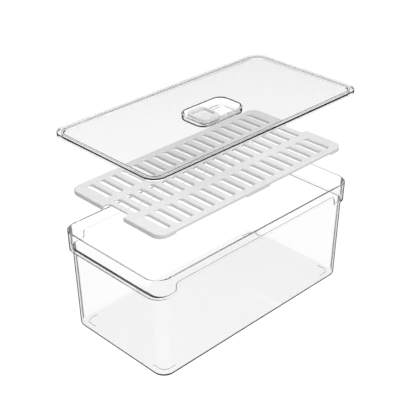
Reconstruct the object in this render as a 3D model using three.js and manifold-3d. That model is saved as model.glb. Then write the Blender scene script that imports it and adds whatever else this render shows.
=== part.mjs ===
// Lidded fridge bin, shown opened out: clear bin, slotted drain tray above it, clear lid with a
// sliding vent on top. Millimetres, +Z up, bin base on z = 0, long side along X, short ends at +-X.
import * as THREE from "three";
import { mergeVertices } from "three/addons/utils/BufferGeometryUtils.js";
import Module from "manifold-3d";

const wasm = await Module();
wasm.setup();

// ---- bin: thin tapered shell with an outward-stepped collar ----
const BIN_HEIGHT = 130.4;
const BIN_WALL = 2.2;
const BASE_HALF = [150.75, 76.0];
const WALL_TOP_HALF = [153.4, 77.4];
const WALL_CORNER_R = 14.6;
const BASE_EDGE_R = 3.0;
const FLOOR_EDGE_R = BASE_EDGE_R - BIN_WALL;
const RIM_HALF = [159.0, 78.95];
const RIM_CORNER_R = 17.3;
const RIM_EDGE_R = 0.7;
const COLLAR_TAPER = 0.5;
const LEDGE_Z = 105.6;
const STEP_Z = 116.6;
const TAB_HALF_SPAN = 130.1;
const TAB_LOWER_R = 3.0;
const TAB_UPPER_R = 4.5;
const INNER_TAB_LOWER_R = 0.8;
const FLOOR_RIB_HEIGHT = 0.8;
const FLOOR_RIB_WIDTH = 1.8;
const FLOOR_RIB_INSET = 6.4;
const FLOOR_RIB_R = 9.0;
const FLOOR_RIB_LEG = 17.0;

// ---- drain tray: slotted plate on a low skirt, held above the bin ----
const TRAY_HALF = [147.0, 72.6];
const TRAY_CORNER_R = 12.0;
const TRAY_TOP_Z = 179.5;
const TRAY_PLATE = 2.0;
const TRAY_EDGE_R = 1.3;
const TRAY_RIM_DEPTH = 3.6;
const SKIRT_BOTTOM_Z = 174.1;
const SKIRT_THICKNESS = 2.0;
const CORNER_FOOT_X = 124.5;
const MIDDLE_FOOT_HALF = 18.5;
const NOTCH_HALF_WIDTH = 16.6;
const NOTCH_INNER_X = 138.5;
const NOTCH_R = 5.0;
const SLOT_COLUMNS = 17;
const SLOT_PITCH_X = 15.9;
const SLOT_ROWS = 3;
const SLOT_PITCH_Y = 46.2;
const SLOT_SIZE = [7.2, 35.4];
const SLOT_R = 1.8;
const SLOT_EASE = 1.0;
const SLOT_FLANGE_DEPTH = 3.7;
const SLOT_FLANGE_WIDTH = 1.1;
const SLOT_FLANGE_END_Y = 66.0;

// ---- lid: flat panel, lip outside the rim, rib inside it, sunk vent pocket ----
const LID_HALF = [160.3, 80.5];
const LID_CORNER_R = 16.0;
const LID_TOP_Z = 250.4;
const LID_PANEL = 2.0;
const LIP_BOTTOM_Z = 246.3;
const LIP_THICKNESS = 1.0;
const LID_EDGE_R = 0.5;
const RIB_HALF = [156.3, 76.25];
const RIB_CORNER_R = 14.6;
const RIB_THICKNESS = 1.5;
const RIB_BOTTOM_Z = 245.2;
const POCKET_HALF = [32.4, 19.4];
const POCKET_CORNER_R = 11.0;
const POCKET_DRAFT = 0.2;
const POCKET_WALL = 1.4;
const POCKET_FLOOR = 1.2;
const POCKET_BOTTOM_Z = 241.6;
const VENT_OPENING_X = [4.2, 26.5];
const VENT_OPENING_HALF_Y = 10.0;
const VENT_OPENING_R = 5.0;
const GUIDE_SLOT_X = [-22.8, 22.2];
const GUIDE_SLOT_Y = 12.9;
const GUIDE_SLOT_WIDTH = 2.6;

// ---- vent slider and the retainer its legs clip into ----
const RUNNING_GAP = 0.3;
const SLIDER_X = [-27.8, -1.0];
const SLIDER_HALF_Y = 15.2;
const SLIDER_OUTER_R = 8.5;
const SLIDER_INNER_R = 4.0;
const SLIDER_TOP_Z = 249.4;
const SLIDER_WALL = 1.4;
const SLIDER_EDGE_R = 0.6;
const SCOOP_X = [-24.6, -3.4];
const SCOOP_HALF_Y = 9.6;
const SCOOP_R = 3.5;
const SCOOP_DEPTH = 2.8;
const LEG_OFFSET_X = 6.0;
const LEG_SIZE = [4.0, 1.8];
const LEG_HOOK = 0.5;
const LEG_HOOK_HEIGHT = 0.9;
const RETAINER_THICKNESS = 1.3;
const RETAINER_HALF = [11.0, 16.0];
const RETAINER_CORNER_R = 3.0;
const RETAINER_WINDOW_HALF = [8.0, 9.8];
const RETAINER_WINDOW_R = 2.0;

const OUTLINE_STEPS = 7;
const SMALL_STEPS = 3;
const NOTCH_STEPS = 4;
const VENT_STEPS = 4;
// How far a cut runs past a face, how far joined shapes overlap, and the least lift off a face.
const CUT = 1.0;
const MERGE = 0.5;
const SKIN = 0.01;

// Rounded rectangle as a closed ring of points, anticlockwise from the +X side.
function ring(halfX, halfY, radius, z, steps = OUTLINE_STEPS, centreX = 0) {
  const points = [];
  const corners = [[1, 1, 0], [-1, 1, 1], [-1, -1, 2], [1, -1, 3]];
  for (const [sx, sy, quarter] of corners) {
    for (let i = 0; i <= steps; i += 1) {
      const angle = (quarter + i / steps) * Math.PI / 2;
      const x = centreX + sx * (halfX - radius) + radius * Math.cos(angle);
      const y = sy * (halfY - radius) + radius * Math.sin(angle);
      points.push(new THREE.Vector3(x, y, z));
    }
  }
  return points;
}

// Ring between two X ends whose corners have one radius on the -X end and another on the +X end.
function endedRing([x0, x1], halfY, [lowR, highR], z, steps = 5) {
  const points = [];
  const corners = [[1, 1, 0], [-1, 1, 1], [-1, -1, 2], [1, -1, 3]];
  for (const [sx, sy, quarter] of corners) {
    const radius = sx < 0 ? lowR : highR;
    const end = sx < 0 ? x0 : x1;
    for (let i = 0; i <= steps; i += 1) {
      const angle = (quarter + i / steps) * Math.PI / 2;
      const x = end - sx * radius + radius * Math.cos(angle);
      const y = sy * (halfY - radius) + radius * Math.sin(angle);
      points.push(new THREE.Vector3(x, y, z));
    }
  }
  return points;
}

// Closed skin through a stack of rings that all have the same number of points.
function loft(rings) {
  const count = rings[0].length;
  const positions = [];
  const indices = [];
  for (const points of rings) {
    for (const p of points) {
      positions.push(p.x, p.y, p.z);
    }
  }
  for (let level = 0; level + 1 < rings.length; level += 1) {
    for (let i = 0; i < count; i += 1) {
      const next = (i + 1) % count;
      const a = level * count + i;
      const b = level * count + next;
      indices.push(a, b, b + count);
      indices.push(a, b + count, a + count);
    }
  }
  const top = (rings.length - 1) * count;
  for (let i = 1; i + 1 < count; i += 1) {
    indices.push(0, i + 1, i);
    indices.push(top, top + i, top + i + 1);
  }
  const geometry = new THREE.BufferGeometry();
  geometry.setAttribute("position", new THREE.Float32BufferAttribute(positions, 3));
  geometry.setIndex(indices);
  return geometry;
}

// Straight-sided rounded block between two heights.
function block(half, radius, z0, z1, steps = OUTLINE_STEPS, centreX = 0) {
  return toSolid(loft([
    ring(half[0], half[1], radius, z0, steps, centreX),
    ring(half[0], half[1], radius, z1, steps, centreX),
  ]));
}

// Rounded block whose upper edge is rolled over with a small radius.
function rolledBlock(half, radius, z0, z1, edge, steps = OUTLINE_STEPS, centreX = 0) {
  const rings = [ring(half[0], half[1], radius, z0, steps, centreX)];
  for (let i = 0; i <= SMALL_STEPS; i += 1) {
    const angle = i / SMALL_STEPS * Math.PI / 2;
    const inset = edge * (1 - Math.cos(angle));
    const z = z1 - edge * (1 - Math.sin(angle));
    rings.push(ring(half[0] - inset, half[1] - inset, radius - inset, z, steps, centreX));
  }
  return toSolid(loft(rings));
}

function cuboid(x0, x1, y0, y1, z0, z1) {
  const geometry = new THREE.BoxGeometry(x1 - x0, y1 - y0, z1 - z0);
  geometry.translate((x0 + x1) / 2, (y0 + y1) / 2, (z0 + z1) / 2);
  return toSolid(geometry);
}

function toSolid(source) {
  const geometry = source.clone();
  geometry.deleteAttribute("normal");
  geometry.deleteAttribute("uv");
  const merged = mergeVertices(geometry, 1e-5);
  return new wasm.Manifold(new wasm.Mesh({
    numProp: 3,
    vertProperties: new Float32Array(merged.attributes.position.array),
    triVerts: new Uint32Array(merged.index.array),
  }));
}

function toGeometry(solid) {
  const mesh = solid.getMesh();
  const geometry = new THREE.BufferGeometry();
  geometry.setAttribute("position", new THREE.Float32BufferAttribute(mesh.vertProperties, 3));
  geometry.setIndex(Array.from(mesh.triVerts));
  geometry.computeVertexNormals();
  return geometry;
}

function joined(solids) {
  return solids.reduce((total, next) => total.add(next));
}

function named(name, solid, material) {
  const mesh = new THREE.Mesh(toGeometry(solid), material);
  mesh.name = name;
  return mesh;
}

// Prism across the whole bin that fills the space between the end tabs, below the long-side step.
function betweenTabs(span, lowerZ, upperZ, lowerR, upperR) {
  const shape = new THREE.Shape();
  shape.moveTo(-(span + lowerR), lowerZ - CUT);
  shape.lineTo(-(span + lowerR), lowerZ);
  shape.absarc(-(span + lowerR), lowerZ + lowerR, lowerR, -Math.PI / 2, 0, false);
  shape.absarc(-(span - upperR), upperZ - upperR, upperR, Math.PI, Math.PI / 2, true);
  shape.absarc(span - upperR, upperZ - upperR, upperR, Math.PI / 2, 0, true);
  shape.absarc(span + lowerR, lowerZ + lowerR, lowerR, Math.PI, 1.5 * Math.PI, false);
  shape.lineTo(span + lowerR, lowerZ - CUT);
  const depth = 2 * (RIM_HALF[1] + CUT);
  const geometry = new THREE.ExtrudeGeometry(shape, { depth, bevelEnabled: false, curveSegments: 5 });
  geometry.rotateX(Math.PI / 2);
  geometry.translate(0, depth / 2, 0);
  return toSolid(geometry);
}

// Outer half sizes of the lower wall at a height, shrunk by an inset.
function wallRing(z, inset) {
  const t = z / LEDGE_Z;
  const halfX = BASE_HALF[0] + (WALL_TOP_HALF[0] - BASE_HALF[0]) * t - inset;
  const halfY = BASE_HALF[1] + (WALL_TOP_HALF[1] - BASE_HALF[1]) * t - inset;
  return ring(halfX, halfY, WALL_CORNER_R - inset, z);
}

function collarRing(z, inset) {
  const t = (BIN_HEIGHT - z) / (BIN_HEIGHT - LEDGE_Z);
  const halfX = RIM_HALF[0] - COLLAR_TAPER * t - inset;
  const halfY = RIM_HALF[1] - COLLAR_TAPER * t - inset;
  return ring(halfX, halfY, RIM_CORNER_R - inset, z);
}

// Tapered lower body with a rolled bottom edge; the inset gives the matching cavity.
function taperedBody(floorZ, topZ, inset, edge) {
  const rings = [];
  for (let i = 0; i <= SMALL_STEPS; i += 1) {
    const angle = i / SMALL_STEPS * Math.PI / 2;
    const roll = edge * (1 - Math.sin(angle));
    const z = floorZ + edge * (1 - Math.cos(angle));
    rings.push(wallRing(z, inset + roll));
  }
  rings.push(wallRing(topZ, inset));
  return toSolid(loft(rings));
}

function collarShell() {
  const rings = [collarRing(LEDGE_Z, 0)];
  for (let i = 0; i <= SMALL_STEPS; i += 1) {
    const angle = i / SMALL_STEPS * Math.PI / 2;
    const z = BIN_HEIGHT - RIM_EDGE_R * (1 - Math.sin(angle));
    rings.push(collarRing(z, RIM_EDGE_R * (1 - Math.cos(angle))));
  }
  const tabs = betweenTabs(TAB_HALF_SPAN, LEDGE_Z, STEP_Z, TAB_LOWER_R, TAB_UPPER_R);
  return toSolid(loft(rings)).subtract(tabs);
}

function collarCavity() {
  const lowZ = LEDGE_Z + BIN_WALL;
  const cavity = toSolid(loft([collarRing(lowZ, BIN_WALL), collarRing(BIN_HEIGHT + CUT, BIN_WALL)]));
  const innerSpan = TAB_HALF_SPAN + BIN_WALL;
  const innerUpperR = TAB_UPPER_R + BIN_WALL;
  const tabs = betweenTabs(innerSpan, lowZ, STEP_Z + BIN_WALL, INNER_TAB_LOWER_R, innerUpperR);
  return cavity.subtract(tabs);
}

// Low C-shaped ribs on the floor, one in each corner, just inside the tray's corner feet.
function floorRibs() {
  const inset = BIN_WALL + FLOOR_RIB_INSET;
  const outerHalf = [BASE_HALF[0] - inset, BASE_HALF[1] - inset];
  const innerHalf = [outerHalf[0] - FLOOR_RIB_WIDTH, outerHalf[1] - FLOOR_RIB_WIDTH];
  const z0 = BIN_WALL - MERGE;
  const z1 = BIN_WALL + FLOOR_RIB_HEIGHT;
  const outer = block(outerHalf, FLOOR_RIB_R, z0, z1, SMALL_STEPS + 1);
  const innerR = FLOOR_RIB_R - FLOOR_RIB_WIDTH;
  const frame = outer.subtract(block(innerHalf, innerR, z0 - CUT, z1 + CUT, SMALL_STEPS + 1));
  const keepX = outerHalf[0] - FLOOR_RIB_LEG;
  const keepY = outerHalf[1] - FLOOR_RIB_LEG;
  const middleX = cuboid(-keepX, keepX, -BASE_HALF[1], BASE_HALF[1], z0 - CUT, z1 + CUT);
  const middleY = cuboid(-BASE_HALF[0], BASE_HALF[0], -keepY, keepY, z0 - CUT, z1 + CUT);
  return frame.subtract(middleX).subtract(middleY);
}

function binSolid() {
  const outer = taperedBody(0, BIN_HEIGHT - 2 * RIM_EDGE_R, 0, BASE_EDGE_R).add(collarShell());
  const cavity = taperedBody(BIN_WALL, BIN_HEIGHT + CUT, BIN_WALL, FLOOR_EDGE_R).add(collarCavity());
  return outer.subtract(cavity).add(floorRibs());
}

// Downturned rim under the plate edge: shallow between the feet, full depth at corners and middle.
function traySkirt() {
  const inner = [TRAY_HALF[0] - SKIRT_THICKNESS, TRAY_HALF[1] - SKIRT_THICKNESS];
  const plateZ = TRAY_TOP_Z - TRAY_PLATE;
  const rimZ = TRAY_TOP_Z - TRAY_RIM_DEPTH;
  const outer = block(TRAY_HALF, TRAY_CORNER_R, SKIRT_BOTTOM_Z, plateZ + MERGE);
  const hollow = block(inner, TRAY_CORNER_R - SKIRT_THICKNESS, SKIRT_BOTTOM_Z - CUT, plateZ);
  const gaps = [-1, 1].map((side) => {
    const x0 = Math.min(side * CORNER_FOOT_X, side * MIDDLE_FOOT_HALF);
    const x1 = Math.max(side * CORNER_FOOT_X, side * MIDDLE_FOOT_HALF);
    return cuboid(x0, x1, -TRAY_HALF[1] - CUT, TRAY_HALF[1] + CUT, SKIRT_BOTTOM_Z - CUT, rimZ);
  });
  return outer.subtract(hollow).subtract(joined(gaps));
}

// Rounded finger notch in the middle of one short end.
function trayNotch(side) {
  const depth = TRAY_HALF[0] - NOTCH_INNER_X;
  const half = [depth + NOTCH_R, NOTCH_HALF_WIDTH];
  const centreX = side * (NOTCH_INNER_X + half[0]);
  return block(half, NOTCH_R, SKIRT_BOTTOM_Z - CUT, TRAY_TOP_Z + CUT, NOTCH_STEPS, centreX);
}

// Slot with its top edge eased over.
function slotCut(x, y) {
  const half = [SLOT_SIZE[0] / 2, SLOT_SIZE[1] / 2];
  const flared = (grow, z) => ring(half[0] + grow, half[1] + grow, SLOT_R + grow, z, SMALL_STEPS);
  const solid = toSolid(loft([
    flared(0, SKIRT_BOTTOM_Z - CUT),
    flared(0, TRAY_TOP_Z - SLOT_EASE),
    flared(SLOT_EASE, TRAY_TOP_Z),
    flared(SLOT_EASE, TRAY_TOP_Z + CUT),
  ]));
  return solid.translate([x, y, 0]);
}

function slotFlange(x) {
  const z0 = TRAY_TOP_Z - SLOT_FLANGE_DEPTH;
  const z1 = TRAY_TOP_Z - TRAY_PLATE / 2;
  const endY = SLOT_FLANGE_END_Y;
  return cuboid(x - SLOT_FLANGE_WIDTH, x + SLOT_FLANGE_WIDTH, -endY, endY, z0, z1);
}

function traySolid() {
  const slots = [];
  const flanges = [];
  for (let column = 0; column < SLOT_COLUMNS; column += 1) {
    const x = (column - (SLOT_COLUMNS - 1) / 2) * SLOT_PITCH_X;
    flanges.push(slotFlange(x - SLOT_SIZE[0] / 2));
    flanges.push(slotFlange(x + SLOT_SIZE[0] / 2));
    for (let row = 0; row < SLOT_ROWS; row += 1) {
      slots.push(slotCut(x, (row - (SLOT_ROWS - 1) / 2) * SLOT_PITCH_Y));
    }
  }
  const plate = rolledBlock(TRAY_HALF, TRAY_CORNER_R, TRAY_TOP_Z - TRAY_PLATE, TRAY_TOP_Z, TRAY_EDGE_R);
  const body = plate.add(traySkirt()).add(joined(flanges));
  return body.subtract(joined(slots)).subtract(trayNotch(-1)).subtract(trayNotch(1));
}

// Panel with a thin outer lip that drops past the rim.
function lidPanel() {
  const panel = rolledBlock(LID_HALF, LID_CORNER_R, LIP_BOTTOM_Z, LID_TOP_Z, LID_EDGE_R);
  const lipInner = [LID_HALF[0] - LIP_THICKNESS, LID_HALF[1] - LIP_THICKNESS];
  const under = block(lipInner, LID_CORNER_R - LIP_THICKNESS, LIP_BOTTOM_Z - CUT, LID_TOP_Z - LID_PANEL);
  return panel.subtract(under);
}

// Rib that drops just inside the rim and keeps the lid in place.
function lidRib() {
  const rootZ = LID_TOP_Z - LID_PANEL / 2;
  const inner = [RIB_HALF[0] - RIB_THICKNESS, RIB_HALF[1] - RIB_THICKNESS];
  const outer = block(RIB_HALF, RIB_CORNER_R, RIB_BOTTOM_Z, rootZ);
  const hollow = block(inner, RIB_CORNER_R - RIB_THICKNESS, RIB_BOTTOM_Z - CUT, LID_TOP_Z - LID_PANEL);
  return outer.subtract(hollow);
}

function pocketBody(grow, z0, z1) {
  const low = [POCKET_HALF[0] - POCKET_DRAFT + grow, POCKET_HALF[1] - POCKET_DRAFT + grow];
  const high = [POCKET_HALF[0] + grow, POCKET_HALF[1] + grow];
  return toSolid(loft([
    ring(low[0], low[1], POCKET_CORNER_R - POCKET_DRAFT + grow, z0),
    ring(high[0], high[1], POCKET_CORNER_R + grow, z1),
  ]));
}

function ventOpening() {
  const half = [(VENT_OPENING_X[1] - VENT_OPENING_X[0]) / 2, VENT_OPENING_HALF_Y];
  const centreX = (VENT_OPENING_X[0] + VENT_OPENING_X[1]) / 2;
  return block(half, VENT_OPENING_R, POCKET_BOTTOM_Z - CUT, LID_TOP_Z, VENT_STEPS, centreX);
}

function guideSlot(side) {
  const y = side * GUIDE_SLOT_Y;
  const half = GUIDE_SLOT_WIDTH / 2;
  const z1 = POCKET_BOTTOM_Z + POCKET_FLOOR + CUT;
  return cuboid(GUIDE_SLOT_X[0], GUIDE_SLOT_X[1], y - half, y + half, POCKET_BOTTOM_Z - CUT, z1);
}

function lidSolid() {
  const floorTop = POCKET_BOTTOM_Z + POCKET_FLOOR;
  const cup = pocketBody(POCKET_WALL, POCKET_BOTTOM_Z, LID_TOP_Z - LID_PANEL / 2);
  const hollow = pocketBody(0, floorTop, LID_TOP_Z + SKIN);
  const body = lidPanel().add(lidRib()).add(cup).subtract(hollow);
  return body.subtract(ventOpening()).subtract(guideSlot(-1)).subtract(guideSlot(1));
}

const LEG_CENTRE_X = -14.3;
const SLIDER_BOTTOM_Z = POCKET_BOTTOM_Z + POCKET_FLOOR + RUNNING_GAP;
const RETAINER_TOP_Z = POCKET_BOTTOM_Z - RUNNING_GAP;
const RETAINER_BOTTOM_Z = RETAINER_TOP_Z - RETAINER_THICKNESS;
const HOOK_TOP_Z = RETAINER_BOTTOM_Z - RUNNING_GAP;

function legPositions() {
  const places = [];
  for (const sx of [-1, 1]) {
    for (const sy of [-1, 1]) {
      places.push([LEG_CENTRE_X + sx * LEG_OFFSET_X, sy * GUIDE_SLOT_Y, sy]);
    }
  }
  return places;
}

// Leg that passes down through a guide slot and hooks under the retainer.
function sliderLeg(x, y, outward) {
  const halfX = LEG_SIZE[0] / 2;
  const halfY = LEG_SIZE[1] / 2;
  const topZ = SLIDER_TOP_Z - SLIDER_WALL / 2;
  const bottomZ = HOOK_TOP_Z - LEG_HOOK_HEIGHT;
  const stem = cuboid(x - halfX, x + halfX, y - halfY, y + halfY, bottomZ, topZ);
  const tip = y + outward * (halfY + LEG_HOOK);
  const hookY = [Math.min(y, tip), Math.max(y, tip)];
  const hook = cuboid(x - halfX, x + halfX, hookY[0], hookY[1], bottomZ, HOOK_TOP_Z);
  return stem.add(hook);
}

function sliderRing(inset, z) {
  const span = [SLIDER_X[0] + inset, SLIDER_X[1] - inset];
  return endedRing(span, SLIDER_HALF_Y - inset, [SLIDER_OUTER_R - inset, SLIDER_INNER_R - inset], z);
}

// Outer skin of the slider with its top edge rolled over.
function sliderCap() {
  const rings = [sliderRing(0, SLIDER_BOTTOM_Z)];
  for (let i = 0; i <= SMALL_STEPS; i += 1) {
    const angle = i / SMALL_STEPS * Math.PI / 2;
    const z = SLIDER_TOP_Z - SLIDER_EDGE_R * (1 - Math.sin(angle));
    rings.push(sliderRing(SLIDER_EDGE_R * (1 - Math.cos(angle)), z));
  }
  return toSolid(loft(rings));
}

// Hollow cap with a shallow finger scoop in its top.
function sliderSolid() {
  const scoopHalf = [(SCOOP_X[1] - SCOOP_X[0]) / 2, SCOOP_HALF_Y];
  const scoopX = (SCOOP_X[0] + SCOOP_X[1]) / 2;
  const scoopZ = SLIDER_TOP_Z - SCOOP_DEPTH;
  const w = SLIDER_WALL;
  const scoop = block(scoopHalf, SCOOP_R, scoopZ, SLIDER_TOP_Z + CUT, VENT_STEPS, scoopX);
  const under = toSolid(loft([sliderRing(w, SLIDER_BOTTOM_Z - CUT), sliderRing(w, SLIDER_TOP_Z - w)]));
  const backHalf = [scoopHalf[0] + w, scoopHalf[1] + w];
  const scoopBack = block(backHalf, SCOOP_R + w, scoopZ - w, SLIDER_TOP_Z, VENT_STEPS, scoopX);
  const legs = legPositions().map(([x, y, outward]) => sliderLeg(x, y, outward));
  return sliderCap().subtract(under.subtract(scoopBack)).subtract(scoop).add(joined(legs));
}

// Thin frame under the pocket floor that the slider's legs clip through.
function retainerSolid() {
  const c = LEG_CENTRE_X;
  const bottomZ = RETAINER_BOTTOM_Z;
  const topZ = RETAINER_TOP_Z;
  const plate = block(RETAINER_HALF, RETAINER_CORNER_R, bottomZ, topZ, VENT_STEPS, c);
  const z0 = bottomZ - CUT;
  const z1 = topZ + CUT;
  const window = block(RETAINER_WINDOW_HALF, RETAINER_WINDOW_R, z0, z1, SMALL_STEPS, c);
  const halfX = LEG_SIZE[0] / 2 + RUNNING_GAP;
  const halfY = LEG_SIZE[1] / 2 + RUNNING_GAP;
  const hole = ([x, y]) => cuboid(x - halfX, x + halfX, y - halfY, y + halfY, z0, z1);
  const holes = legPositions().map(hole);
  return plate.subtract(window).subtract(joined(holes));
}

function clearPlastic(colour) {
  return new THREE.MeshStandardMaterial({
    color: colour,
    roughness: 0.08,
    metalness: 0,
    transparent: true,
    opacity: 0.35,
  });
}

function palePlastic(colour, roughness) {
  return new THREE.MeshStandardMaterial({ color: colour, roughness, metalness: 0 });
}

const bin = new THREE.Group();
bin.name = "fridge_bin";
bin.add(named("bin_shell", binSolid(), clearPlastic(0xe6eaec)));
bin.add(named("drain_tray", traySolid(), palePlastic(0xe4e5e5, 0.45)));
bin.add(named("lid_panel", lidSolid(), clearPlastic(0xe2e6e8)));
bin.add(named("vent_slider", sliderSolid(), palePlastic(0xdcdedf, 0.4)));
bin.add(named("vent_retainer", retainerSolid(), palePlastic(0xd6d8da, 0.5)));

export default bin;
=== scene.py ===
import math

import bmesh
import bpy
from mathutils import Matrix, Vector


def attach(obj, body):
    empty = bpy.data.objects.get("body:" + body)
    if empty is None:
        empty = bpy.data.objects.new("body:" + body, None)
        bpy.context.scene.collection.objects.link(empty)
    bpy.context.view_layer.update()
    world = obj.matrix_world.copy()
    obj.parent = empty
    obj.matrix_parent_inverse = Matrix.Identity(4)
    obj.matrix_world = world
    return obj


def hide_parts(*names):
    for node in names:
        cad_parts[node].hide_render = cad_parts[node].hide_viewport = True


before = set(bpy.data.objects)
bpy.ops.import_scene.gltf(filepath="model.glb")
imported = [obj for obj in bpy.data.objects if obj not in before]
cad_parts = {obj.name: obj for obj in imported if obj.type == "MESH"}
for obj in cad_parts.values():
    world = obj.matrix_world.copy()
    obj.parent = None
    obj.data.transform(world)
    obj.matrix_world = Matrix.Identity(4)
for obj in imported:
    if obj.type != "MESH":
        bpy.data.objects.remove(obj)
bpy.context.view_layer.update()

MM = 0.001

# ---------------------------------------------------------------- shape constants, millimetres

BIN_H = 130.4
BIN_T = 2.2
BASE_HALF = (150.75, 76.0)
WALL_TOP_HALF = (153.4, 77.4)
WALL_R = 14.6
BASE_ROLL = 3.0
RIM_HALF = (159.0, 78.95)
RIM_R = 17.3
COLLAR_TAPER = 0.5
LEDGE_Z = 105.6
STEP_Z = 116.6
TAB_X = 130.1
TAB_LOW_R = 3.0
TAB_UP_R = 4.5
EDGE_R = 0.5
RIM_ROLL = 0.8
# Heights on the wall where the skin has a ring, and the last one's distance below the collar.
WALL_HEIGHTS = (30.0, 60.0, 88.0)
BELOW_COLLAR = 3.0

FLOOR_RIB_INSET = 6.4
FLOOR_RIB_R = 9.0
FLOOR_RIB_WIDTH = 1.8
FLOOR_RIB_LEG = 17.0
FLOOR_RIB_HEIGHT = 0.8
FLOOR_RIB_SLOPE = 0.25
FLOOR_RIB_LIFT = 0.02

LID_HALF = (160.3, 80.5)
LID_R = 16.0
LID_TOP = 250.4
LID_PANEL = 2.0
LID_ROLL = 0.6
LIP_BOTTOM = 246.3
LIP_T = 1.0
LIP_ROUND = 0.45
LIP_ROOT = 0.2
RIB_HALF = (156.3, 76.25)
RIB_R = 14.6
RIB_T = 1.5
RIB_BOTTOM = 245.2
RIB_TIP_R = 0.4
RIB_ROOT_R = 0.85
POCKET_HALF = (32.4, 19.4)
POCKET_R = 11.0
POCKET_DRAFT = 0.2
POCKET_T = 1.4
POCKET_FLOOR = 1.2
POCKET_BOTTOM = 241.6
POCKET_UNDER_R = 0.8
POCKET_ROOT_R = 0.5
POCKET_FOOT_R = 0.7
VENT_X = (4.2, 26.5)
VENT_Y = 10.0
VENT_R = 5.0
GUIDE_X = (-22.8, 22.2)
GUIDE_Y = 12.9
GUIDE_W = 2.6
GUIDE_CUT_LIFT = 0.8
GUIDE_CUT_DEPTH = 4.0

CORNER_STEPS = 14

# Angles in degrees: where shading breaks, which faces count as flat, which edges get a bevel.
SMOOTH_ANGLE = 35.0
FLAT_ANGLE = 0.8
BEVEL_ANGLE = 40.0
MERGE_METRES = 1e-6


# ---------------------------------------------------------------- mesh helpers

def make_object(name, bm):
    """Turns a bmesh in millimetres into a smooth-shaded object in metres."""
    bmesh.ops.recalc_face_normals(bm, faces=bm.faces)
    bmesh.ops.scale(bm, vec=(MM, MM, MM), verts=bm.verts)
    mesh = bpy.data.meshes.new(name)
    bm.to_mesh(mesh)
    bm.free()
    obj = bpy.data.objects.new(name, mesh)
    bpy.context.scene.collection.objects.link(obj)
    smooth(obj)
    return obj


def smooth(obj):
    """Smooth shading that keeps wide faces flat and breaks at sharp edges."""
    mesh = obj.data
    limit = math.radians(SMOOTH_ANGLE)
    bm = bmesh.new()
    bm.from_mesh(mesh)
    for face in bm.faces:
        face.smooth = True
    for edge in bm.edges:
        sharp = len(edge.link_faces) != 2 or edge.calc_face_angle(0.0) > limit
        edge.smooth = not sharp
    bm.to_mesh(mesh)
    bm.free()
    mod = obj.modifiers.new("face_normals", "WEIGHTED_NORMAL")
    mod.keep_sharp = True
    bake_modifiers(obj)


def bake_modifiers(obj):
    dg = bpy.context.evaluated_depsgraph_get()
    mesh = bpy.data.meshes.new_from_object(obj.evaluated_get(dg))
    obj.modifiers.clear()
    obj.data = mesh


def skin(rings):
    """Closed skin, capped at both ends, through equal-length rings of (x, y, z) points."""
    bm = bmesh.new()
    rows = [[bm.verts.new(p) for p in ring] for ring in rings]
    count = len(rows[0])
    for low, high in zip(rows, rows[1:]):
        for i in range(count):
            j = (i + 1) % count
            bm.faces.new((low[i], low[j], high[j], high[i]))
    bm.faces.new(list(reversed(rows[0])))
    bm.faces.new(rows[-1])
    return bm


def rounded(half, radius, z, centre_x=0.0, steps=CORNER_STEPS):
    """Rounded rectangle ring, anticlockwise from +X."""
    points = []
    for quarter, (sx, sy) in enumerate(((1, 1), (-1, 1), (-1, -1), (1, -1))):
        for i in range(steps + 1):
            a = (quarter + i / steps) * math.pi / 2
            x = centre_x + sx * (half[0] - radius) + radius * math.cos(a)
            y = sy * (half[1] - radius) + radius * math.sin(a)
            points.append((x, y, z))
    return points


def grown(outline, amount, z):
    """Rounded rectangle ring at an outline (half x, half y, corner radius) grown outwards."""
    return rounded((outline[0] + amount, outline[1] + amount), outline[2] + amount, z)


def arc(steps, start, end):
    """Angles from start to end in degrees, both included, in radians."""
    return [math.radians(start + (end - start) * i / steps) for i in range(steps + 1)]


# ---------------------------------------------------------------- bin shell

# Places along one long side where a column of the skin stands, in millimetres from the middle.
SIDE_STATIONS = [0.0, 30.0, 60.0, 90.0, 112.0, 122.0]
SIDE_STATIONS += [TAB_X - TAB_UP_R + TAB_UP_R * math.sin(a) for a in arc(7, 0.0, 88.0)]
SIDE_STATIONS += [TAB_X + TAB_LOW_R * (1 - math.cos(a)) for a in arc(5, 4.0, 90.0)]
SIDE_STATIONS += [135.6]


def step_height(x):
    """Height of the collar's lower edge on a long side, at a distance from the middle."""
    x = abs(x)
    if x <= TAB_X - TAB_UP_R:
        return STEP_Z
    if x <= TAB_X:
        return STEP_Z - TAB_UP_R + math.sqrt(max(0.0, TAB_UP_R ** 2 - (x - TAB_X + TAB_UP_R) ** 2))
    if x <= TAB_X + TAB_LOW_R:
        d = TAB_X + TAB_LOW_R - x
        return LEDGE_Z + TAB_LOW_R - math.sqrt(max(0.0, TAB_LOW_R ** 2 - d ** 2))
    return LEDGE_Z


def bin_columns():
    """(corner signs, angle) or (long side sign, x) for every column, anticlockwise from +X."""
    columns = []
    corners = ((1, 1), (-1, 1), (-1, -1), (1, -1))
    for quarter, (sx, sy) in enumerate(corners):
        for i in range(CORNER_STEPS + 1):
            columns.append(("corner", sx, sy, (quarter + i / CORNER_STEPS) * math.pi / 2))
        if quarter in (0, 2):
            xs = sorted({s * v for v in SIDE_STATIONS for s in (-1, 1)}, reverse=quarter == 0)
            columns.extend(("side", sx, sy, x) for x in xs)
    return columns


def column_point(column, half, radius):
    kind, sx, sy, value = column
    if kind == "side":
        return value, sy * half[1]
    x = sx * (half[0] - radius) + radius * math.cos(value)
    y = sy * (half[1] - radius) + radius * math.sin(value)
    return x, y


def column_step(column):
    return step_height(column[3]) if column[0] == "side" else LEDGE_Z


def wall_point(column, z, inset):
    t = min(z, BIN_H) / LEDGE_Z
    half = [b + (w - b) * t - inset for b, w in zip(BASE_HALF, WALL_TOP_HALF)]
    return column_point(column, half, WALL_R - inset)


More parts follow.
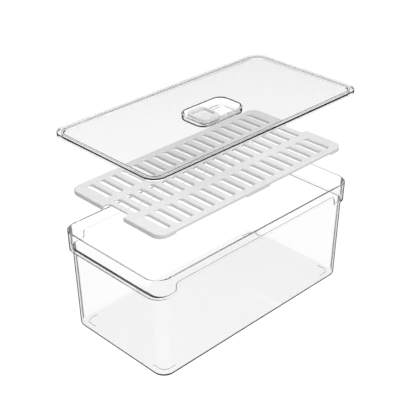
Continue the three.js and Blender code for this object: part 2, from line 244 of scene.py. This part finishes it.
def collar_point(column, z, inset):
    t = (BIN_H - z) / (BIN_H - LEDGE_Z)
    half = [h - COLLAR_TAPER * t - inset for h in RIM_HALF]
    return column_point(column, half, RIM_R - inset)


def between(column, z, inset, u):
    """Point between the wall skin (u = 0) and the collar skin (u = 1)."""
    ax, ay = wall_point(column, z, inset)
    bx, by = collar_point(column, z, inset)
    return ax + (bx - ax) * u, ay + (by - ay) * u, z


def step_width(column, z):
    ax, ay = wall_point(column, z, 0.0)
    bx, by = collar_point(column, z, 0.0)
    return math.hypot(bx - ax, by - ay)


def bin_profile(column, inset):
    """Points up one column of the outer (inset 0) or inner skin, from floor to below the rim."""
    edge_r = BASE_ROLL - inset
    points = []
    for a in arc(6, 0.0, 90.0):
        roll = edge_r * (1 - math.sin(a))
        z = inset + edge_r * (1 - math.cos(a))
        x, y = wall_point(column, z, inset + roll)
        points.append((x, y, z))
    edge = column_step(column) + inset
    width = max(step_width(column, edge), 1e-6)
    f = min(EDGE_R, 0.45 * width)
    for z in (*WALL_HEIGHTS, edge - BELOW_COLLAR):
        points.append(between(column, z, inset, 0.0))
    for a in arc(3, 0.0, 90.0):
        u = f * (1 - math.cos(a)) / width
        points.append(between(column, edge - f * (1 - math.sin(a)), inset, u))
    for a in arc(3, 0.0, 90.0):
        u = 1.0 - f * (1 - math.sin(a)) / width
        points.append(between(column, edge + f * (1 - math.cos(a)), inset, u))
    points.append(between(column, edge + 0.5 * (BIN_H - edge), inset, 1.0))
    return points


def rim_profile(column):
    """Rolled rim from the outer skin over to the inner one."""
    points = []
    for a in arc(4, 0.0, 90.0):
        x, y = collar_point(column, BIN_H, RIM_ROLL * (1 - math.cos(a)))
        points.append((x, y, BIN_H - RIM_ROLL * (1 - math.sin(a))))
    for a in arc(4, 90.0, 0.0):
        x, y = collar_point(column, BIN_H, BIN_T - RIM_ROLL * (1 - math.cos(a)))
        points.append((x, y, BIN_H - RIM_ROLL * (1 - math.sin(a))))
    return points


def build_bin():
    columns = bin_columns()
    profiles = []
    for column in columns:
        outer = bin_profile(column, 0.0)
        inner = bin_profile(column, BIN_T)
        profiles.append(outer + rim_profile(column) + inner[::-1])
    rings = [list(ring) for ring in zip(*profiles)]
    obj = make_object("bin_clear_shell", skin(rings))
    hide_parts("bin_shell")
    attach(obj, "bin")
    return obj


def rib_path(outer):
    """Centre line of one corner rib on the +X +Y corner: a leg, a quarter turn, a leg."""
    path = [(outer[0] - FLOOR_RIB_LEG, outer[1])]
    for a in arc(8, 90.0, 0.0):
        x = outer[0] - FLOOR_RIB_R + FLOOR_RIB_R * math.cos(a)
        y = outer[1] - FLOOR_RIB_R + FLOOR_RIB_R * math.sin(a)
        path.append((x, y))
    path.append((outer[0], outer[1] - FLOOR_RIB_LEG))
    return path


def build_floor_ribs():
    """Low C-shaped ribs standing on the floor corners."""
    outer = [half - BIN_T - FLOOR_RIB_INSET for half in BASE_HALF]
    path = rib_path(outer)
    profile = (
        (0.0, FLOOR_RIB_LIFT),
        (FLOOR_RIB_SLOPE, FLOOR_RIB_HEIGHT),
        (FLOOR_RIB_WIDTH - FLOOR_RIB_SLOPE, FLOOR_RIB_HEIGHT),
        (FLOOR_RIB_WIDTH, FLOOR_RIB_LIFT),
    )
    bm = bmesh.new()
    for sx in (-1, 1):
        for sy in (-1, 1):
            rows = []
            for i, (x, y) in enumerate(path):
                px, py = path[max(i - 1, 0)]
                nx, ny = path[min(i + 1, len(path) - 1)]
                d = Vector((nx - px, ny - py)).normalized()
                side = Vector((d.y, -d.x)) * -1.0
                section = []
                for off, z in profile:
                    q = Vector((x, y)) - side * off
                    section.append(bm.verts.new((sx * q.x, sy * q.y, BIN_T + z)))
                rows.append(section)
            for a, b in zip(rows, rows[1:]):
                for i in range(4):
                    j = (i + 1) % 4
                    bm.faces.new((a[i], a[j], b[j], b[i]))
            bm.faces.new(rows[0])
            bm.faces.new(rows[-1])
    obj = make_object("bin_floor_ribs", bm)
    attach(obj, "bin")
    return obj


# ---------------------------------------------------------------- lid

def fillet(outline, radius, z, steps, start, end):
    """Rings round the bottom edge of an upright face; a negative radius rounds an outer face."""
    size = abs(radius)
    return [
        grown(outline, radius * (1 - math.cos(a)), z + size * (1 - math.sin(a)))
        for a in arc(steps, start, end)
    ]


def lid_rings():
    """Rings round the lid's whole section, and the strips between them that get painted shade:
    near-black lines standing in for dark refracted edges.
    """
    under = LID_TOP - LID_PANEL
    rings = []
    painted_dark_strips = set()

    # a flagged batch gets painted shade, a near-black line, on the strips between its rings
    def add(batch, painted_dark=False):
        if painted_dark:
            painted_dark_strips.update(range(len(rings), len(rings) + len(batch) - 1))
        rings.extend(batch)

    # pocket floor underside, from the opening outwards
    opening = ((VENT_X[1] - VENT_X[0]) / 2, VENT_Y)
    centre = (VENT_X[0] + VENT_X[1]) / 2
    low = (POCKET_HALF[0] - POCKET_DRAFT, POCKET_HALF[1] - POCKET_DRAFT, POCKET_R - POCKET_DRAFT)
    pocket = (*POCKET_HALF, POCKET_R)
    floor_top = POCKET_BOTTOM + POCKET_FLOOR
    add([rounded(opening, VENT_R, POCKET_BOTTOM, centre)])
    outer_low = [size + POCKET_T for size in low]
    add(fillet(outer_low, -POCKET_UNDER_R, POCKET_BOTTOM, 4, 90.0, 0.0))
    outer_top = [size + POCKET_T for size in pocket]
    for a in arc(3, 0.0, 90.0):
        k = POCKET_ROOT_R * (1 - math.cos(a))
        z = under - POCKET_ROOT_R * (1 - math.sin(a))
        add([grown(outer_top, k, z)])
    # rib inside the rim, with its root eased into the panel on both sides; the root strips get
    # painted dark lines
    inner = (RIB_HALF[0] - RIB_T, RIB_HALF[1] - RIB_T, RIB_R - RIB_T)
    outer = (*RIB_HALF, RIB_R)
    eased = ((0.0, 1.0), (0.3, 0.3), (1.0, 0.0))
    add([grown(inner, -RIB_ROOT_R * b, under - RIB_ROOT_R * a) for a, b in eased], True)
    add(fillet(inner, RIB_TIP_R, RIB_BOTTOM, 3, 0.0, 90.0))
    add(fillet(outer, -RIB_TIP_R, RIB_BOTTOM, 3, 90.0, 0.0))
    add([grown(outer, RIB_TIP_R * a, under - RIB_TIP_R * b) for a, b in eased], True)
    # lip outside the rim
    lip = (LID_HALF[0] - LIP_T, LID_HALF[1] - LIP_T, LID_R - LIP_T)
    rim = (*LID_HALF, LID_R)
    add([grown(lip, -LIP_ROOT, under), grown(lip, 0.0, under - LIP_ROOT)])
    add(fillet(lip, LIP_ROUND, LIP_BOTTOM, 3, 0.0, 90.0))
    add(fillet(rim, -LIP_ROUND, LIP_BOTTOM, 3, 90.0, 0.0))
    # rolled top edge, with a painted dark line on its middle strip
    roll = []
    for a in arc(4, 0.0, 90.0):
        z = LID_TOP - LID_ROLL * (1 - math.sin(a))
        roll.append(grown(rim, -LID_ROLL * (1 - math.cos(a)), z))
    add(roll[:1])
    add(roll[1:3], True)
    add(roll[3:])
    # top face in to the pocket, down its wall and across its floor
    for a in arc(4, 90.0, 0.0):
        k = LID_ROLL * (1 - math.cos(a))
        z = LID_TOP - LID_ROLL * (1 - math.sin(a))
        add([grown(pocket, LID_ROLL - k, z)])
    for a in arc(4, 0.0, 90.0):
        z = floor_top + POCKET_FOOT_R * (1 - math.sin(a))
        add([grown(low, -POCKET_FOOT_R * (1 - math.cos(a)), z)])
    add([rounded(opening, VENT_R, floor_top, centre)])
    return rings, painted_dark_strips


def build_lid():
    rings, painted_dark_strips = lid_rings()
    bm = bmesh.new()
    rows = [[bm.verts.new(p) for p in ring] for ring in rings]
    count = len(rows[0])
    for strip, (a, b) in enumerate(zip(rows, rows[1:] + rows[:1])):
        for i in range(count):
            j = (i + 1) % count
            face = bm.faces.new((a[i], a[j], b[j], b[i]))
            # painted shade: the flagged strips take the near-black second material
            face.material_index = 1 if strip in painted_dark_strips else 0
    obj = make_object("lid_clear_panel", bm)
    cut_guides(obj)
    smooth(obj)
    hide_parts("lid_panel")
    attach(obj, "lid")
    return obj


def cut_guides(lid):
    """Cuts the two guide slots through the pocket floor."""
    bm = bmesh.new()
    for side in (-1, 1):
        middle = (GUIDE_X[0] + GUIDE_X[1]) / 2
        centre = Vector((middle, side * GUIDE_Y, POCKET_BOTTOM + GUIDE_CUT_LIFT)) * MM
        scale = Vector((GUIDE_X[1] - GUIDE_X[0], GUIDE_W, GUIDE_CUT_DEPTH)) * MM
        matrix = Matrix.Translation(centre) @ Matrix.Diagonal((*scale, 1.0))
        bmesh.ops.create_cube(bm, size=1.0, matrix=matrix)
    mesh = bpy.data.meshes.new("guide_cutter")
    bm.to_mesh(mesh)
    bm.free()
    cutter = bpy.data.objects.new("guide_cutter", mesh)
    bpy.context.scene.collection.objects.link(cutter)
    mod = lid.modifiers.new("guides", "BOOLEAN")
    mod.operation = "DIFFERENCE"
    mod.solver = "EXACT"
    mod.object = cutter
    bake_modifiers(lid)
    bpy.data.objects.remove(cutter)


# ---------------------------------------------------------------- opaque mouldings

def refined_copy(node, name, body, bevel_mm):
    """CAD node as a clean mesh with softened edges."""
    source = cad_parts[node]
    obj = bpy.data.objects.new(name, source.data.copy())
    bpy.context.scene.collection.objects.link(obj)
    obj.matrix_world = source.matrix_world.copy()
    bm = bmesh.new()
    bm.from_mesh(obj.data)
    bmesh.ops.remove_doubles(bm, verts=bm.verts, dist=MERGE_METRES)
    flat = math.radians(FLAT_ANGLE)
    bmesh.ops.dissolve_limit(bm, angle_limit=flat, verts=bm.verts, edges=bm.edges)
    bm.to_mesh(obj.data)
    bm.free()
    mod = obj.modifiers.new("edge", "BEVEL")
    mod.width = bevel_mm * MM
    mod.segments = 2
    mod.limit_method = "ANGLE"
    mod.angle_limit = math.radians(BEVEL_ANGLE)
    mod.harden_normals = False
    bake_modifiers(obj)
    smooth(obj)
    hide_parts(node)
    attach(obj, body)
    return obj


# ---------------------------------------------------------------- materials

# The part of a noise's range that nearly all of its values fall in.
NOISE_LOW = 0.3
NOISE_HIGH = 0.7

# A clear moulding gets painted shade: its colour goes near-black from EDGE_FROM to EDGE_FULL of
# Layer Weight's Facing, and only where the largest part of its normal is less than FLAT_FULL.
EDGE_FROM = 0.4
EDGE_FULL = 0.5
FLAT_FROM = 0.97
FLAT_FULL = 0.995
EDGE_SHADE_GREY = 0.02
CLEAR_ROUGHNESS = 0.012
CLEAR_BUMP = 0.02
CLEAR_BUMP_METRES = 0.001
SATIN_IOR = 1.48
SATIN_BUMP_METRES = 0.0002

# Sockets of a Mix node that mixes colours.
MIX_FACTOR = 0
MIX_FIRST = 6
MIX_SECOND = 7
MIX_RESULT = 2


def grey(value):
    return (value, value, value)


def new_material(name):
    material = bpy.data.materials.new(name)
    material.use_nodes = True
    tree = material.node_tree
    shader = tree.nodes["Principled BSDF"]
    return material, tree, shader


def texture_coord(tree):
    coord = tree.nodes.get("coord") or tree.nodes.new("ShaderNodeTexCoord")
    coord.name = "coord"
    return coord


def add_noise(tree, scale, detail=3.0, roughness=0.5):
    coord = texture_coord(tree)
    noise = tree.nodes.new("ShaderNodeTexNoise")
    noise.inputs["Scale"].default_value = scale
    noise.inputs["Detail"].default_value = detail
    noise.inputs["Roughness"].default_value = roughness
    tree.links.new(coord.outputs["Object"], noise.inputs["Vector"])
    return noise


def combine(tree, operation, first, second, constant=0.0):
    """Math node on one socket and a second socket, or a constant where there is none."""
    node = tree.nodes.new("ShaderNodeMath")
    node.operation = operation
    tree.links.new(first, node.inputs[0])
    if second is None:
        node.inputs[1].default_value = constant
    else:
        tree.links.new(second, node.inputs[1])
    return node.outputs["Value"]


def opposite(tree, source):
    """One where the socket is zero and zero where it is one."""
    less = combine(tree, "SUBTRACT", source, None, 1.0)
    return combine(tree, "ABSOLUTE", less, None)


def ramp_between(tree, source, low, high, start=NOISE_LOW, end=NOISE_HIGH):
    ramp = tree.nodes.new("ShaderNodeMapRange")
    ramp.inputs["From Min"].default_value = start
    ramp.inputs["From Max"].default_value = end
    ramp.inputs["To Min"].default_value = low
    ramp.inputs["To Max"].default_value = high
    tree.links.new(source, ramp.inputs["Value"])
    return ramp.outputs["Result"]


def soft_step(tree, source, start, end, low, high):
    node = tree.nodes.new("ShaderNodeMapRange")
    node.interpolation_type = "SMOOTHSTEP"
    node.inputs["From Min"].default_value = start
    node.inputs["From Max"].default_value = end
    node.inputs["To Min"].default_value = low
    node.inputs["To Max"].default_value = high
    tree.links.new(source, node.inputs["Value"])
    return node.outputs["Result"]


def colour_between(tree, source, low, high):
    """Colour that drifts between two values over the middle of a noise."""
    ramp = tree.nodes.new("ShaderNodeValToRGB")
    ramp.color_ramp.elements[0].position = NOISE_LOW
    ramp.color_ramp.elements[0].color = (*low, 1.0)
    ramp.color_ramp.elements[1].position = NOISE_HIGH
    ramp.color_ramp.elements[1].color = (*high, 1.0)
    tree.links.new(source, ramp.inputs["Fac"])
    return ramp.outputs["Color"]


def largest_axis(tree):
    """Largest component of the surface normal: one on a flat pane, less on a rounded corner."""
    split = tree.nodes.new("ShaderNodeSeparateXYZ")
    tree.links.new(texture_coord(tree).outputs["Normal"], split.inputs["Vector"])
    sizes = []
    for axis in "XYZ":
        size = tree.nodes.new("ShaderNodeMath")
        size.operation = "ABSOLUTE"
        tree.links.new(split.outputs[axis], size.inputs[0])
        sizes.append(size.outputs["Value"])
    wide = combine(tree, "MAXIMUM", sizes[0], sizes[1])
    return combine(tree, "MAXIMUM", wide, sizes[2])


def passing_light(tree):
    """One for light on its way to a lamp or a dull surface, which a clear moulding hardly stops."""
    path = tree.nodes.new("ShaderNodeLightPath")
    return combine(tree, "MAXIMUM", path.outputs["Is Shadow Ray"], path.outputs["Is Diffuse Ray"])


def clear_plastic(name, low, high, ior):
    """Polished clear moulding, with painted shade darkening it where a curve is seen edge-on, a
    little wavy and hazy.
    """
    material, tree, shader = new_material(name)
    shader.inputs["Transmission Weight"].default_value = 1.0
    shader.inputs["IOR"].default_value = ior
    tint = add_noise(tree, 9.0, 2.0)
    body = colour_between(tree, tint.outputs["Fac"], grey(low), grey(high))
    facing = tree.nodes.new("ShaderNodeLayerWeight")
    facing.inputs["Blend"].default_value = 0.5
    curved = ramp_between(tree, largest_axis(tree), 1.0, 0.0, FLAT_FROM, FLAT_FULL)
    grazing_shade = ramp_between(tree, facing.outputs["Facing"], 0.0, 1.0, EDGE_FROM, EDGE_FULL)
    edge = combine(tree, "MULTIPLY", grazing_shade, curved)
    # painted shade: the glass colour mixes to near-black on curves seen edge-on
    mix = tree.nodes.new("ShaderNodeMix")
    mix.data_type = "RGBA"
    tree.links.new(edge, mix.inputs[MIX_FACTOR])
    tree.links.new(body, mix.inputs[MIX_FIRST])
    mix.inputs[MIX_SECOND].default_value = (*grey(EDGE_SHADE_GREY), 1.0)
    tree.links.new(mix.outputs[MIX_RESULT], shader.inputs["Base Color"])
    tree.links.new(opposite(tree, passing_light(tree)), shader.inputs["Alpha"])
    haze = add_noise(tree, 60.0, 4.0)
    rough = ramp_between(tree, haze.outputs["Fac"], 0.0, CLEAR_ROUGHNESS)
    tree.links.new(rough, shader.inputs["Roughness"])
    flow = add_noise(tree, 22.0, 2.0)
    bump = tree.nodes.new("ShaderNodeBump")
    bump.inputs["Strength"].default_value = CLEAR_BUMP
    bump.inputs["Distance"].default_value = CLEAR_BUMP_METRES
    tree.links.new(flow.outputs["Fac"], bump.inputs["Height"])
    tree.links.new(bump.outputs["Normal"], shader.inputs["Normal"])
    return material


def satin_plastic(name, low, high, rough_low, rough_high, grain):
    """Opaque moulded plastic with fine grain, faint colour drift and uneven gloss."""
    material, tree, shader = new_material(name)
    shader.inputs["IOR"].default_value = SATIN_IOR
    drift = add_noise(tree, 14.0, 3.0)
    colour = colour_between(tree, drift.outputs["Fac"], low, high)
    tree.links.new(colour, shader.inputs["Base Color"])
    gloss = add_noise(tree, 90.0, 4.0)
    rough = ramp_between(tree, gloss.outputs["Fac"], rough_low, rough_high)
    tree.links.new(rough, shader.inputs["Roughness"])
    fine = add_noise(tree, 1400.0, 2.0, 0.7)
    bump = tree.nodes.new("ShaderNodeBump")
    bump.inputs["Strength"].default_value = grain
    bump.inputs["Distance"].default_value = SATIN_BUMP_METRES
    tree.links.new(fine.outputs["Fac"], bump.inputs["Height"])
    tree.links.new(bump.outputs["Normal"], shader.inputs["Normal"])
    return material


def assign(obj, *materials):
    if obj.data.materials:
        obj.data.materials.clear()
    for material in materials:
        obj.data.materials.append(material)


# ---------------------------------------------------------------- build

shell = build_bin()
ribs = build_floor_ribs()
lid = build_lid()
tray = refined_copy("drain_tray", "tray_grille", "tray", 0.3)
slider = refined_copy("vent_slider", "vent_slider_cap", "vent", 0.25)
retainer = refined_copy("vent_retainer", "vent_retainer_frame", "vent", 0.2)

bin_clear = clear_plastic("bin clear plastic", 0.99, 1.0, 1.4)
lid_clear = clear_plastic("lid clear plastic", 0.985, 1.0, 1.3)
# near-black glass for the lid's painted dark edge lines (painted shade)
lid_painted_dark = clear_plastic("lid painted dark lines", 0.004, 0.008, 1.3)
tray_pale = satin_plastic("tray pale plastic", grey(0.69), grey(0.73), 0.38, 0.52, 0.25)
slider_pale = satin_plastic("slider pale plastic", grey(0.70), grey(0.74), 0.3, 0.42, 0.2)
retainer_low = (0.60, 0.61, 0.61)
retainer_high = (0.64, 0.645, 0.645)
retainer_pale = satin_plastic("retainer pale plastic", retainer_low, retainer_high, 0.4, 0.5, 0.2)
assign(shell, bin_clear)
assign(ribs, bin_clear)
assign(lid, lid_clear, lid_painted_dark)
assign(tray, tray_pale)
assign(slider, slider_pale)
assign(retainer, retainer_pale)


# ---------------------------------------------------------------- stage

FLOOR_RADIUS = 60.0
FLOOR_GAP = 0.0006
FLOOR_GREY = 0.08
FLOOR_GLOW = 0.98
FLOOR_BOUNCE = 0.68
TOP_LIGHT_FROM = 0.62
TOP_LIGHT_FULL = 0.82
TOP_LIGHT = 2.05
RIGHT_LIGHT = 1.0
RIGHT_LIGHT_FROM = -0.35
RIGHT_LIGHT_FULL = -0.8
HORIZON_BLUR = 0.1
HAZE_FROM = -0.03
HAZE_TO = -0.01
HAZE_FADE_FROM = 0.12
HAZE_FADE_TO = 0.27
AMBIENT = 0.03

CAMERA_AZIMUTH = -45.06
CAMERA_ELEVATION = 30.08
CAMERA_DISTANCE = 1.15274
CAMERA_LENS = 84.77
TARGET_RIGHT = -0.00234
TARGET_HEIGHT = 0.12114


def build_floor():
    """Glowing floor that reflections don't show and that can't be seen from below."""
    bm = bmesh.new()
    bmesh.ops.create_circle(bm, cap_ends=True, segments=64, radius=FLOOR_RADIUS)
    mesh = bpy.data.meshes.new("studio_floor")
    bm.to_mesh(mesh)
    bm.free()
    obj = bpy.data.objects.new("studio_floor", mesh)
    bpy.context.scene.collection.objects.link(obj)
    obj.location.z = -FLOOR_GAP
    material, tree, shader = new_material("studio floor")
    shader.inputs["Base Color"].default_value = (*grey(FLOOR_GREY), 1.0)
    shader.inputs["Roughness"].default_value = 0.9
    shader.inputs["Specular IOR Level"].default_value = 0.0
    shader.inputs["Emission Color"].default_value = (1.0, 1.0, 1.0, 1.0)
    path = tree.nodes.new("ShaderNodeLightPath")
    glow = soft_step(tree, path.outputs["Is Diffuse Ray"], 0.0, 1.0, FLOOR_GLOW, FLOOR_BOUNCE)
    tree.links.new(glow, shader.inputs["Emission Strength"])
    geometry = tree.nodes.new("ShaderNodeNewGeometry")
    tree.links.new(opposite(tree, geometry.outputs["Backfacing"]), shader.inputs["Alpha"])
    obj.data.materials.append(material)
    obj.visible_glossy = False


def build_world():
    """Studio surround: wide light overhead, a soft wall on the -Y side, pale at the horizon."""
    world = bpy.data.worlds.new("studio")
    bpy.context.scene.world = world
    world.use_nodes = True
    tree = world.node_tree
    tree.nodes.clear()
    out = tree.nodes.new("ShaderNodeOutputWorld")
    background = tree.nodes.new("ShaderNodeBackground")
    coord = tree.nodes.new("ShaderNodeTexCoord")
    split = tree.nodes.new("ShaderNodeSeparateXYZ")
    tree.links.new(coord.outputs["Generated"], split.inputs["Vector"])
    top = soft_step(tree, split.outputs["Z"], TOP_LIGHT_FROM, TOP_LIGHT_FULL, 0.0, TOP_LIGHT)
    y = split.outputs["Y"]
    right = soft_step(tree, y, RIGHT_LIGHT_FROM, RIGHT_LIGHT_FULL, 0.0, RIGHT_LIGHT)
    above = soft_step(tree, split.outputs["Z"], -HORIZON_BLUR, HORIZON_BLUR, 0.0, 1.0)
    side_above = combine(tree, "MULTIPLY", right, above)
    rise = soft_step(tree, split.outputs["Z"], HAZE_FROM, HAZE_TO, 0.0, 1.0)
    fade = soft_step(tree, split.outputs["Z"], HAZE_FADE_FROM, HAZE_FADE_TO, 1.0, 0.0)
    path = tree.nodes.new("ShaderNodeLightPath")
    through = path.outputs["Is Transmission Ray"]
    seen = combine(tree, "MAXIMUM", path.outputs["Is Camera Ray"], through)
    horizon = combine(tree, "MULTIPLY", combine(tree, "MULTIPLY", rise, fade), seen)
    lamps = combine(tree, "ADD", top, side_above)
    total = combine(tree, "MAXIMUM", lamps, horizon)
    dim = combine(tree, "ADD", total, None, AMBIENT)
    tree.links.new(dim, background.inputs["Strength"])
    background.inputs["Color"].default_value = (1.0, 1.0, 1.0, 1.0)
    tree.links.new(background.outputs["Background"], out.inputs["Surface"])


def build_camera():
    az = math.radians(CAMERA_AZIMUTH)
    el = math.radians(CAMERA_ELEVATION)
    back = Vector((math.sin(az) * math.cos(el), -math.cos(az) * math.cos(el), math.sin(el)))
    right = Vector((math.cos(az), math.sin(az), 0.0))
    target = right * TARGET_RIGHT + Vector((0.0, 0.0, TARGET_HEIGHT))
    data = bpy.data.cameras.new("camera")
    data.sensor_width = 36.0
    data.lens = CAMERA_LENS
    data.clip_start = 0.01
    data.clip_end = 100.0
    obj = bpy.data.objects.new("camera", data)
    bpy.context.scene.collection.objects.link(obj)
    obj.location = target + back * CAMERA_DISTANCE
    obj.rotation_mode = "QUATERNION"
    obj.rotation_quaternion = (-back).to_track_quat("-Z", "Y")
    bpy.context.scene.camera = obj


build_floor()
build_world()
build_camera()

scene = bpy.context.scene
scene.view_settings.view_transform = "Standard"
scene.view_settings.look = "None"
scene.cycles.max_bounces = 24
scene.cycles.transmission_bounces = 20
scene.cycles.glossy_bounces = 8
scene.cycles.diffuse_bounces = 4
